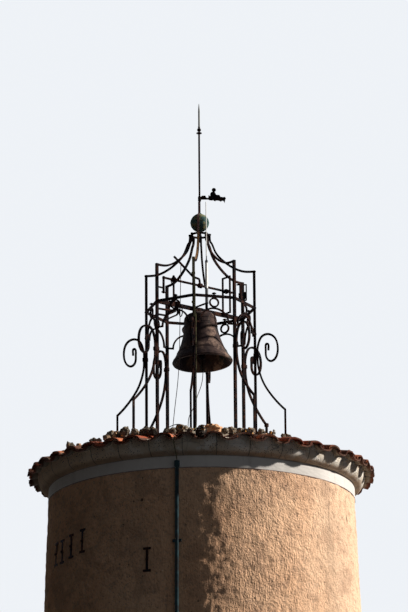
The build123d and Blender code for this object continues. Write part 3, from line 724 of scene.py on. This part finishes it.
def drawn(form, route, outline, side):
    """Draw a bar of one outline through the points; its width keeps to one side."""
    part = bmesh.new()
    route = [Vector(point) for point in route]
    stations = []
    for k, point in enumerate(route):
        ahead = (route[min(k + 1, len(route) - 1)] - route[max(k - 1, 0)]).normalized()
        across = (side - ahead * side.dot(ahead)).normalized()
        station = Matrix((across, ahead.cross(across), ahead)).transposed().to_4x4()
        station.translation = point
        stations.append(station)
    face = part.faces.new([part.verts.new(stations[0] @ Vector((x, y, 0))) for x, y in outline])
    for here, there in zip(stations, stations[1:]):
        grown = bmesh.ops.extrude_face_region(part, geom=[face])
        if here is not stations[0]:
            bmesh.ops.delete(part, geom=[face], context="FACES_ONLY")
        face = next(item for item in grown["geom"] if isinstance(item, bmesh.types.BMFace))
        bmesh.ops.transform(part, matrix=there @ here.inverted(), verts=face.verts)
    added(form, part)


def flat_bar(width, thickness):
    return [(x * width / 2, y * thickness / 2) for x, y in ((-1, -1), (1, -1), (1, 1), (-1, 1))]


def round_bar(radius, corners=8):
    return [(radius * math.cos(math.tau * k / corners), radius * math.sin(math.tau * k / corners))
            for k in range(corners)]


def along_beam(along, across, height):
    return beam_way @ Matrix.Translation((along, across, height))


beam_side = beam_way @ Vector((1, 0, 0))
saddle = [(-0.036, 0.0), (-0.030, 0.0), (-0.0267, 0.004)]
saddle += [(saddle_bow * math.cos(bow), saddle_bow * math.sin(bow))
           for bow in (2.8, 2.4, 2.0, 1.57, 1.14, 0.74, 0.34)]
saddle += [(0.0267, 0.004), (0.030, 0.0), (0.036, 0.0)]
drawn(fittings_form, [beam_way @ Vector((near_stand, across, shaft_height + up)) for across, up in saddle],
      flat_bar(0.022, 0.005), beam_side)
block(fittings_form, (0.020, 0.072, 0.010), along_beam(near_stand, 0, shaft_height - 0.009))
for across in (-0.031, 0.031):
    turned(fittings_form, [(0, -0.024), (0.0075, -0.024), (0.0075, -0.018), (0.004, -0.017), (0.004, 0.002),
                           (0.008, 0.003), (0.008, 0.009), (0.004, 0.010), (0.004, 0.015), (0, 0.015)],
           along_beam(near_stand, across, shaft_height), 6)
turned(fittings_form, nut, along_beam(near_stand, 0, shaft_height + 0.030), 6)
for along in (near_stand - 0.030, near_stand + 0.034):
    block(fittings_form, (0.018, 0.054, 0.052), along_beam(along, 0, beam_middle), 0.003)
    for across in (-0.019, 0.019):
        turned(fittings_form, nut, along_beam(along, across, beam_middle + 0.025), 6)
block(fittings_form, (0.050, 0.030, 0.014), along_beam(near_stand + 0.002, 0, beam_middle + 0.026))
drawn(fittings_form, [beam_way @ Vector((shackle_place, across, height)) for across, height in (
    (-0.014, 10.418), (-0.021, 10.385), (-0.022, 10.358), (-0.012, 10.338), (0.0, 10.332),
    (0.012, 10.338), (0.022, 10.358), (0.021, 10.385), (0.014, 10.418))], round_bar(0.005), beam_side)
turned(fittings_form, [(0, -0.503), (0.0085, -0.503), (0.0085, -0.452),
                       (0.010, -0.451), (0.010, -0.444), (0, -0.444)],
       along_beam(0, 0, link_height) @ outwards, 12)

# Bent bars brace the near end of the beam. By the post at its far end a thin
# bar reaches out and down, and carries a counterweight.
far_side = 0.318
beam_across = beam_way.to_3x3() @ Vector((0, 1, 0))
for brace in (
        ((-0.500, 10.362), (-0.415, 10.366), (-0.335, 10.374), (-0.290, 10.400)),
        ((-0.500, 10.306), (-0.412, 10.310), (-0.300, 10.368), (-0.290, 10.412)),
        ((-0.413, 10.266), (-0.348, 10.302), (-0.284, 10.336), (-0.267, 10.355), (-0.271, 10.412)),
        ((-0.372, 10.420), (-0.372, 10.336))):
    drawn(fittings_form, [along_beam(along, 0, height).translation for along, height in brace],
          flat_bar(0.017, 0.015), beam_across)
for size, side, height in (
        ((0.095, 0.012, 0.012), 0.3936, 10.778), ((0.012, 0.012, 0.160), 0.4386, 10.704),
        ((0.026, 0.020, 0.066), 0.4316, 10.672)):
    block(fittings_form, size, Matrix.Translation((side, far_side, height)))
made("smith_joints", fittings_form, iron)

# A second pin, with a head at each end, joins the link to the crank and turns
# with the rocking shaft.
crank_form = bmesh.new()
turned(crank_form, [(0, -0.456), (0.0085, -0.455), (0.0085, -0.449), (0.0055, -0.448), (0.0055, -0.420),
                    (0.0085, -0.419), (0.0085, -0.412), (0, -0.411)], along_beam(0, 0, 10.532) @ outwards, 12)
made("crank_pin", crank_form, iron, "rocking_shaft")


# Two iron wires work the bell: one pulls the lever of the rocking shaft, the
# other the clapper. Both run down through the mortar into the tower.
def wire(name, route, thickness, material):
    """A round wire along one smooth curve, with the points as its controls."""
    line = bpy.data.curves.new(name, "CURVE")
    line.dimensions = "3D"
    line.resolution_u = 6
    line.bevel_depth = thickness / 2
    line.bevel_resolution = 2
    line.use_fill_caps = True
    run = line.splines.new("NURBS")
    run.points.add(len(route) - 1)
    for point, place in zip(run.points, route):
        point.co = (*place, 1)
    run.order_u = 3
    run.use_endpoint_u = True
    holder = bpy.data.objects.new(name, line)
    swept = bpy.data.meshes.new_from_object(holder)
    bpy.data.objects.remove(holder)
    form = bmesh.new()
    form.from_mesh(swept)
    bpy.data.meshes.remove(swept)
    bmesh.ops.remove_doubles(form, verts=form.verts, dist=weld_reach)
    return made(name, form, material, body=None)


lever_route = [(-0.180, -0.051, 10.878), (-0.190, -0.20, 10.30), (-0.199, -0.35, 9.733),
               (-0.247, -0.62, 9.258), (-0.262, -0.74, 9.04)]
clapper_route = [(0.0188, -0.0318, 9.876), (0.027, -0.12, 9.723), (-0.043, -0.35, 9.477),
                 (-0.073, -0.55, 9.323), (-0.111, -0.68, 9.226), (-0.119, -0.85, 9.081),
                 (-0.119, -0.87, 9.02)]
pull_thickness = 0.0065
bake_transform(wire("lever_wire", lever_route, pull_thickness, iron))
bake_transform(wire("clapper_wire", clapper_route, pull_thickness, iron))


# The down pipe that guards the earth lead is copper gone dark and green, with
# a collar at its mouth and a sleeve at each joint.
def verdigris(name, dark, bright, bare_metal, lively):
    finish = Finish(name)
    bloom = finish.grain(16, 6, 0.65)
    bare = finish.rise(finish.grain(18, 5, 0.6), 0.50, 0.60)
    colour = finish.blend(finish.rise(bloom, 0.35, 0.65), dark, bright)
    colour = finish.blend(bare * lively, colour, bare_metal)
    return finish.coat(colour, bloom, 0.003, roughness=0.72, gloss=0.06)


pipe_copper = verdigris(
    "pipe_copper", (0.010, 0.021, 0.026), (0.026, 0.056, 0.066), (0.022, 0.018, 0.017), 0.6)
dress(["conductor_pipe"], pipe_copper)
pipe_azimuth = -98.6
pipe_side = Matrix.Rotation(math.radians(pipe_azimuth), 4, "Z")
pipe_lean = Matrix.Rotation(math.radians(-1.89), 4, "Y")
pipe_bore, pipe_stand_off = 0.0145, 0.027
mouth_height, joint_heights = 8.600, (6.62, 4.62, 2.62, 0.62)
pipe_form = bmesh.new()
for height in (mouth_height, *joint_heights):
    outer, half = (0.0245, 0.027) if height == mouth_height else (0.0205, 0.030)
    place = Matrix.Translation((wall_radius(height) + pipe_stand_off, 0, height))
    sleeve = [(pipe_bore, -half), (outer - 0.002, -half), (outer, -half + 0.003),
              (outer, half - 0.003), (outer - 0.002, half), (pipe_bore, half)]
    turned(pipe_form, sleeve, pipe_side @ place @ pipe_lean, 16, ring=True)
made("pipe_sleeves", pipe_form, pipe_copper)


# The copper ball is raised in two halves and soldered round its middle. Hail
# has dented it, and a small collar seats it above and below.
ball_copper = verdigris("ball_copper", (0.018, 0.045, 0.050), (0.11, 0.20, 0.175), (0.30, 0.25, 0.11), 0.75)
ball_middle = sum((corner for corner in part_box("copper_ball")), Vector()) / 2
ball_radius, ball_steps = 0.0885, 56
ball_form = bmesh.new()
ball = bmesh.ops.create_uvsphere(ball_form, u_segments=ball_steps, v_segments=36, radius=ball_radius)
for corner in ball["verts"]:
    way = corner.co.normalized()
    dent = max(0, noise.noise(way * 5 + Vector((7, 2, 5))) - 0.1)
    corner.co *= 1 + 0.020 * noise.noise(way * 2.2) - 0.030 * dent
bmesh.ops.translate(ball_form, verts=ball_form.verts, vec=ball_middle)
turned(ball_form, [(ball_radius - 0.003, -0.004), (ball_radius + 0.0008, -0.003), (ball_radius + 0.0022, 0),
                   (ball_radius + 0.0008, 0.003), (ball_radius - 0.003, 0.004)],
       Matrix.Translation(ball_middle), ball_steps, ring=True)
for way in (-1, 1):
    turned(ball_form, [(0.008, way * 0.082), (0.020, way * 0.084), (0.022, way * 0.088),
                       (0.014, way * 0.096), (0.008, way * 0.098)],
           Matrix.Translation(ball_middle), 20, ring=True)
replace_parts(made("dented_ball", ball_form, ball_copper), "copper_ball")

# The lightning rod stands on the mast's tip in a small collar, and tapers to a
# point. Its copper has gone brown and dull.
rod_copper = verdigris("rod_copper", (0.055, 0.050, 0.026), (0.125, 0.120, 0.060), (0.05, 0.03, 0.02), 0.7)
rod_foot, rod_tip = (corner.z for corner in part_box("lightning_point"))
rod_form = bmesh.new()
turned(rod_form, [(0, rod_foot), (0.0095, rod_foot), (0.0105, rod_foot + 0.004), (0.0105, rod_foot + 0.014),
                  (0.0078, rod_foot + 0.018), (0.0074, rod_tip - 0.075), (0.0058, rod_tip - 0.045),
                  (0.0016, rod_tip - 0.001), (0, rod_tip)], steps=16)
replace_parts(made("lightning_rod", rod_form, rod_copper), "lightning_point")


# A flat copper strap, clipped twice, leads from the mast over the ball and down
# the front rib and post. A round lead goes on over the mortar and a channel
# tile to the down pipe, and an iron wire arches over the tiles beside it.
def strap_metal():
    finish = Finish("strap_metal")
    height = finish.axis("Z") + finish.grain(30, 3, 0.6) * 0.02
    stain = finish.rise(finish.grain(45, 5, 0.65), 0.45, 0.62)
    colour = finish.blend(finish.rise(height, 10.80, 10.86), (0.125, 0.110, 0.050), (0.42, 0.20, 0.065))
    colour = finish.blend(finish.rise(height, 11.15, 11.20), colour, (0.095, 0.035, 0.030))
    colour = finish.blend(stain * 0.55, colour, (0.045, 0.030, 0.020))
    return finish.coat(colour, stain, 0.001, roughness=0.6, gloss=0.25)


strap_finish = strap_metal()
over_ball = ball_radius + 0.0042
strap_line = [(0.0108, 11.505), (0.0108, 11.44), (0.0115, 11.392)]
strap_line += [(over_ball * math.sin(bow), ball_middle.z + over_ball * math.cos(bow))
               for bow in map(math.radians, (12, 25, 40, 55, 70, 85, 100, 114))]
strap_line += [(0.093, 11.222), (0.103, 11.190), (0.1055, 11.174), (0.1228, 11.088), (0.1535, 11.012),
               (0.2065, 10.938), (0.270, 10.880), (0.336, 10.8367), (0.405, 10.809), (0.483, 10.8015),
               (0.500, 10.8035), (0.517, 10.8025), (0.5255, 10.796), (0.528, 10.782)]
strap_route = [Vector((reach, -0.004, height)) for reach, height in strap_line]
strap_route += [Vector((0.5266, side, height)) for side, height in (
    (0.004, 10.66), (0.008, 10.58), (0.010, 10.50), (0.010, 10.42), (0.010, 10.34), (0.010, 10.22))]
front_side = Matrix.Rotation(front_post, 4, "Z")
strap_form = bmesh.new()
drawn(strap_form, [front_side @ point for point in strap_route], flat_bar(0.018, 0.0026),
      front_side @ Vector((0, 1, 0)))
for height in (10.64, 10.36):
    block(strap_form, (0.006, 0.036, 0.022), on_cage(0, 0.5275, height), 0.0015)
made("earth_strap", strap_form, strap_finish)


def round_tower(azimuth, radius, height):
    return Matrix.Rotation(math.radians(azimuth), 4, "Z") @ Vector((radius, 0, height))


lead_route = [round_tower(*spot) for spot in (
    (-94.56, 0.5222, 10.25), (-94.56, 0.5222, 9.80), (-94.56, 0.5222, 9.35), (-94.6, 0.526, 9.17),
    (-95.0, 0.60, roof_height(0.60) + 0.115), (-96.5, 0.75, roof_height(0.75) + 0.112),
    (-98.0, 0.90, roof_height(0.90) + 0.100), (-98.5, 1.00, roof_height(1.00) + 0.045))]
lead_route += [round_tower(pipe_azimuth, reach, height) for reach, height in (
    (1.25, roof_height(1.25) + 0.032), (1.50, roof_height(1.50) + 0.022), (1.59, 8.806), (1.618, 8.785),
    (1.612, 8.745), (1.53, 8.705), (1.455, 8.665), (1.436, 8.61), (1.436, 8.56))]
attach(wire("earth_lead", lead_route, 0.0095, rod_copper), "tower")
loop_reach = 1.25
loop_route = [round_tower(azimuth, loop_reach, roof_height(loop_reach) + lift) for azimuth, lift in (
    (-106.8, 0.030), (-106.3, 0.050), (-104.9, 0.105), (-102, 0.138), (-99.1, 0.150), (-96.5, 0.130),
    (-95.2, 0.095), (-94.5, 0.030))]
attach(wire("roof_lead", loop_route, 0.008, iron), "tower")


# The bell is cast bronze with raised mouldings. Its skin is brown, with pale
# patches that are partly rubbed bronze and partly painted highlight, and green
# where rain runs. Its side away from the lamp is painted near black as shade.
def bell_bronze():
    finish = Finish("bell_bronze")
    skin = finish.grain(9, 6, 0.6)
    runs = finish.rise(finish.grain(6, 5, 0.6, finish.squeezed(1, 1, 0.35)), 0.52, 0.64)
    rubbed_and_sheen = finish.rise(finish.grain(7, 5, 0.6), 0.50, 0.62)
    colour = finish.blend(finish.rise(skin, 0.35, 0.65), (0.026, 0.018, 0.019), (0.090, 0.058, 0.050))
    # Partly painted highlight: pale patches of rubbed bronze that also stand for the sheen of the lit side.
    colour = finish.blend(rubbed_and_sheen * 0.6, colour, (0.40, 0.27, 0.21))
    colour = finish.blend(runs * 0.75, colour, (0.020, 0.036, 0.038))
    # Painted shade: the bell's side away from the lamp, towards -X, is painted near black.
    painted_shade_mask = finish.rise(finish.axis("X"), -0.17, 0.13)
    colour = finish.blend(painted_shade_mask * 0.8 + 0.2, (0.006, 0.005, 0.009), colour)
    return finish.coat(colour, skin, 0.003, roughness=0.7, gloss=0.04)


bronze = bell_bronze()
dress(["bell"], bronze)
bell_hang, bell_lean = 10.400, math.radians(-4)
bell_place = (along_beam(-0.005, 0, bell_hang) @ Matrix.Rotation(bell_lean, 4, "X")
              @ Matrix.Translation((0, 0, -bell_hang)))
bell_mouth, bell_height = 9.905, 0.482
bell_skin = BVHTree.FromPolygons([corner.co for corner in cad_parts["bell"].data.vertices],
                                 [face.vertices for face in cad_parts["bell"].data.polygons])
mouldings = ((0.06, 0.0030), (0.20, 0.0035), (0.228, 0.0025),
             (0.74, 0.0030), (0.775, 0.0025), (0.865, 0.0035))
outside = 0.5
inwards = bell_place.to_3x3() @ Vector((-1, 0, 0))
moulding_form = bmesh.new()
for share, thick in mouldings:
    level = bell_mouth + share * bell_height
    skin = outside - bell_skin.ray_cast(bell_place @ Vector((outside, 0, level)), inwards)[3]
    turned(moulding_form, [(skin - 0.004, level - 1.4 * thick), (skin + 0.0005, level - 1.4 * thick),
                           (skin + 0.8 * thick, level - 0.7 * thick), (skin + thick, level),
                           (skin + 0.8 * thick, level + 0.7 * thick), (skin + 0.0005, level + 1.4 * thick),
                           (skin - 0.004, level + 1.4 * thick)], bell_place, 64, ring=True)
made("bell_mouldings", moulding_form, bronze)


# The aerial is a white plastic tube between a dark socket and cap, with a whip
# that tapers to its tip.
tube_foot, tube_top = 10.5995, 10.8495


def chalked_plastic():
    finish = Finish("chalked_plastic")
    chalk = finish.grain(25, 4, 0.6)
    height = finish.axis("Z")
    colour = finish.blend(finish.rise(chalk, 0.4, 0.7), (0.93, 0.92, 0.90), (0.72, 0.68, 0.63))
    socket = finish.rise(height, tube_foot, tube_foot - 0.001)
    cap = finish.rise(height, tube_top, tube_top + 0.001) - finish.rise(height, 10.879, 10.884)
    colour = finish.blend(socket + cap, colour, (0.030, 0.030, 0.032))
    return finish.coat(colour, chalk, 0.001, roughness=0.6, gloss=0.5)


plastic = chalked_plastic()
dress(["aerial"], plastic)
aerial_form = bmesh.new()
aerial_outline = [
    (0, 10.459), (0.0140, 10.459), (0.0145, 10.463), (0.0145, 10.594), (0.0138, 10.598), (0.0130, tube_foot),
    (0.0130, tube_top), (0.0138, 10.850), (0.0138, 10.868), (0.0110, 10.874), (0.0062, 10.880),
    (0.0052, 10.900), (0.0047, 11.20), (0.0040, 11.452), (0.0022, 11.457), (0, 11.458)]
aerial_side, aerial_front = 0.061, -0.160
turned(aerial_form, aerial_outline, Matrix.Translation((aerial_side, aerial_front, 0)), 16)
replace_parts(made("whip_aerial", aerial_form, plastic), "aerial")


# The door is of upright planks, grey with weather and dark at the foot. Two
# strap hinges, rows of nails and a ring pull of iron are fixed to its face.
plank_width = 0.137


def weathered_planks():
    finish = Finish("weathered_planks")
    grain = finish.grain(30, 6, 0.6, finish.squeezed(1, 1, 0.06))
    across = finish.axis("X")
    gap = finish.rise(across.math("PINGPONG", across, plank_width / 2), 0.0645, 0.0675)
    foot = finish.rise(finish.axis("Z") + grain * 0.3, 0.55, 0.1)
    colour = finish.blend(finish.rise(grain, 0.3, 0.7), (0.10, 0.07, 0.05), (0.30, 0.23, 0.17))
    colour = finish.blend(foot * 0.6, colour, (0.07, 0.065, 0.05))
    colour = finish.blend(gap * 0.9, colour, (0.012, 0.010, 0.008))
    return finish.coat(colour, grain * 0.5 - gap * 2, 0.006, roughness=0.85, gloss=0.1)


dress(["door"], weathered_planks())
door_face = 1.4326
rearwards = Matrix.Rotation(-math.pi / 2, 4, "X")
ironwork_form = bmesh.new()
for height in (0.45, 1.45):
    drawn(ironwork_form, [(side, door_face + 0.0025, height) for side in (-0.395, -0.10, 0.10, 0.19)],
          flat_bar(0.045, 0.006), Vector((0, 0, 1)))
    turned(ironwork_form, [(0, -0.028), (0.011, -0.028), (0.012, -0.024),
                           (0.012, 0.024), (0.011, 0.028), (0, 0.028)],
           Matrix.Translation((-0.398, door_face + 0.009, height)), 12)
    for side in (-0.34, -0.22, -0.10, 0.02, 0.14):
        turned(ironwork_form, rivet, Matrix.Translation((side, door_face + 0.0055, height)) @ rearwards, 8)
for side in (-0.34, -0.205, -0.07, 0.07, 0.205, 0.34):
    for height in (0.12, 0.95, 1.62):
        turned(ironwork_form, rivet, Matrix.Translation((side, door_face, height)) @ rearwards, 8)
pull_side = 0.30
boss = [(0, -0.001), (0.024, -0.001), (0.023, 0.004), (0.012, 0.007), (0.009, 0.018), (0, 0.019)]
pull_ring = [(0.040, -0.005), (0.045, -0.005), (0.049, 0), (0.045, 0.005), (0.040, 0.005), (0.037, 0)]
turned(ironwork_form, boss, Matrix.Translation((pull_side, door_face, 1.0)) @ rearwards, 16)
turned(ironwork_form, pull_ring, Matrix.Translation((pull_side, door_face + 0.013, 0.952)) @ rearwards, 28,
       ring=True)
made("door_ironwork", ironwork_form, iron)
